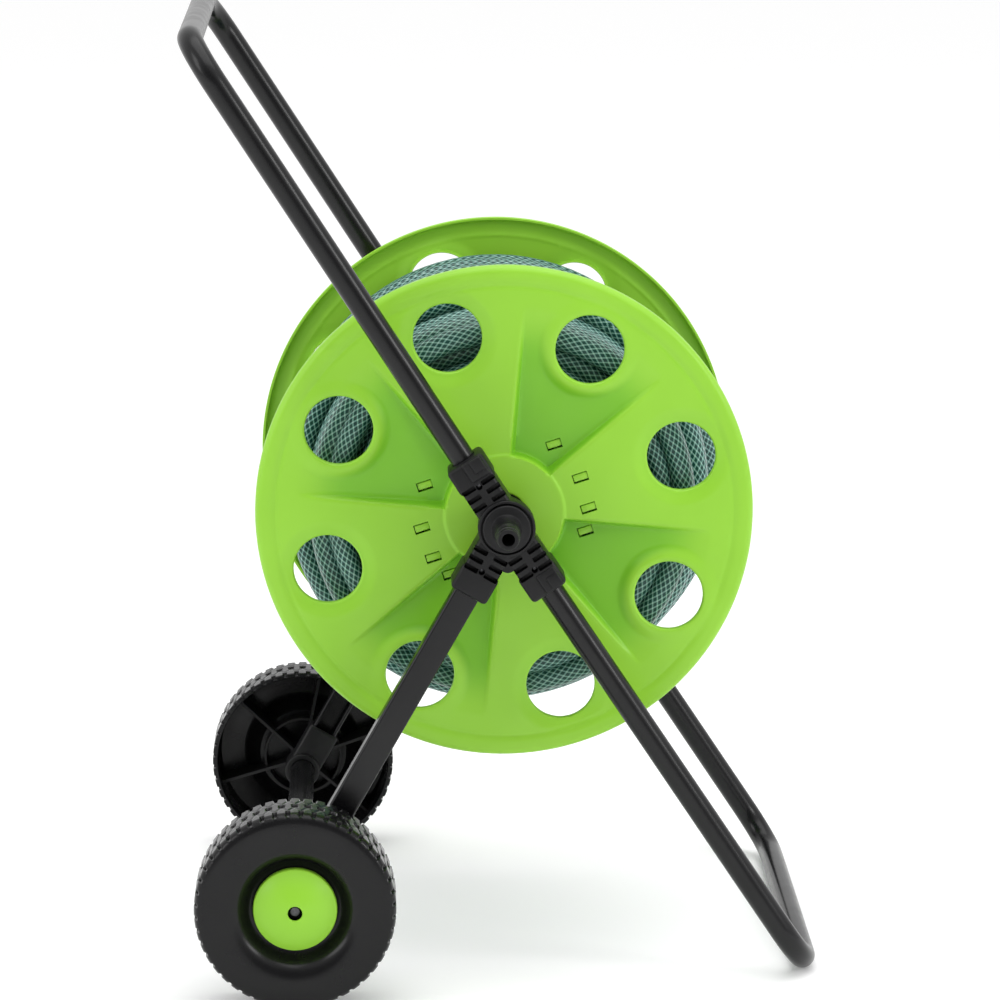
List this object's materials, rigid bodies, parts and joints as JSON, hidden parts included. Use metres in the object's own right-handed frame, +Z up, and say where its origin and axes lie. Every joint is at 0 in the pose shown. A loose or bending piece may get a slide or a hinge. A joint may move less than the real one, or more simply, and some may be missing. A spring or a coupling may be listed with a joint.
{
  "type": "garden hose reel cart",
  "caption": "Tube-framed garden hose cart on two wheels: a flanged drum wound with braided hose turns on the hub brackets, with a water inlet on one side and a crank on the other.",
  "frame": {"origin": "on the ground, at the middle of the cart's footprint", "axes": "+Z up; +Y along the drum's axle towards the crank side, so the water inlet faces -Y; +X from the wheels towards the foot bar"},
  "size_m": [0.4596, 0.543, 0.6918],
  "materials": {
    "black_tube": "gloss black powder coat",
    "black_plastic": "satin black moulding",
    "wheel_plastic": "satin black moulding with a block tread",
    "green_plastic": "satin lime green moulding",
    "steel": "zinc plated",
    "seal_rubber": "matt black",
    "hose": "translucent dark green with a light diamond braid"
  },
  "bodies": {
    "frame": {"handle_tube": "black_tube", "foot_tube": "black_tube", "axle_sleeve": "black_tube", "rear_strut_near": "black_tube", "axle_collar_near": "black_plastic", "hub_bracket_near": "black_plastic", "sleeve_plug_near": "black_plastic", "handle_screw_near": "steel", "foot_screw_near": "steel", "strut_screw_near": "steel", "wheel_washer_near": "steel", "push_nut_near": "steel", "rear_strut_far": "black_tube", "axle_collar_far": "black_plastic", "hub_bracket_far": "black_plastic", "sleeve_plug_far": "black_plastic", "handle_screw_far": "steel", "foot_screw_far": "steel", "strut_screw_far": "steel", "wheel_washer_far": "steel", "push_nut_far": "steel", "water_inlet": "black_plastic", "inlet_lock_nut": "black_plastic", "spindle_bush": "black_plastic", "axle_rod": "steel", "nipple_seal": "seal_rubber", "swivel_seal": "seal_rubber"},
    "reel": {"flange_near": "green_plastic", "flange_far": "green_plastic", "core_shell_front": "green_plastic", "core_shell_back": "green_plastic", "swivel_elbow": "black_plastic", "hose_nut": "black_plastic", "drive_spindle": "black_plastic", "crank_arm": "black_plastic", "crank_screw": "steel", "knob_pin": "steel", "hose_winding": "hose", "hose_end_connector": "green_plastic"},
    "crank_knob": {"crank_knob": "black_plastic"},
    "wheel_near": {"wheel_near": "wheel_plastic", "hub_cap_near": "green_plastic"},
    "wheel_far": {"wheel_far": "wheel_plastic", "hub_cap_far": "green_plastic"}
  },
  "joints": [
    {"name": "reel_spin", "type": "hinge", "parent": "frame", "child": "reel", "pos_m": [0.00159, -0.028, 0.339], "axis": [0, 1, 0], "continuous": true},
    {"name": "crank_knob_spin", "type": "hinge", "parent": "reel", "child": "crank_knob", "pos_m": [0.00159, 0.2295, 0.229], "axis": [0, 1, 0], "continuous": true},
    {"name": "wheel_near_spin", "type": "hinge", "parent": "frame", "child": "wheel_near", "pos_m": [-0.14991, -0.243, 0.072], "axis": [0, 1, 0], "continuous": true},
    {"name": "wheel_far_spin", "type": "hinge", "parent": "frame", "child": "wheel_far", "pos_m": [-0.14991, 0.187, 0.072], "axis": [0, 1, 0], "continuous": true}
  ]
}
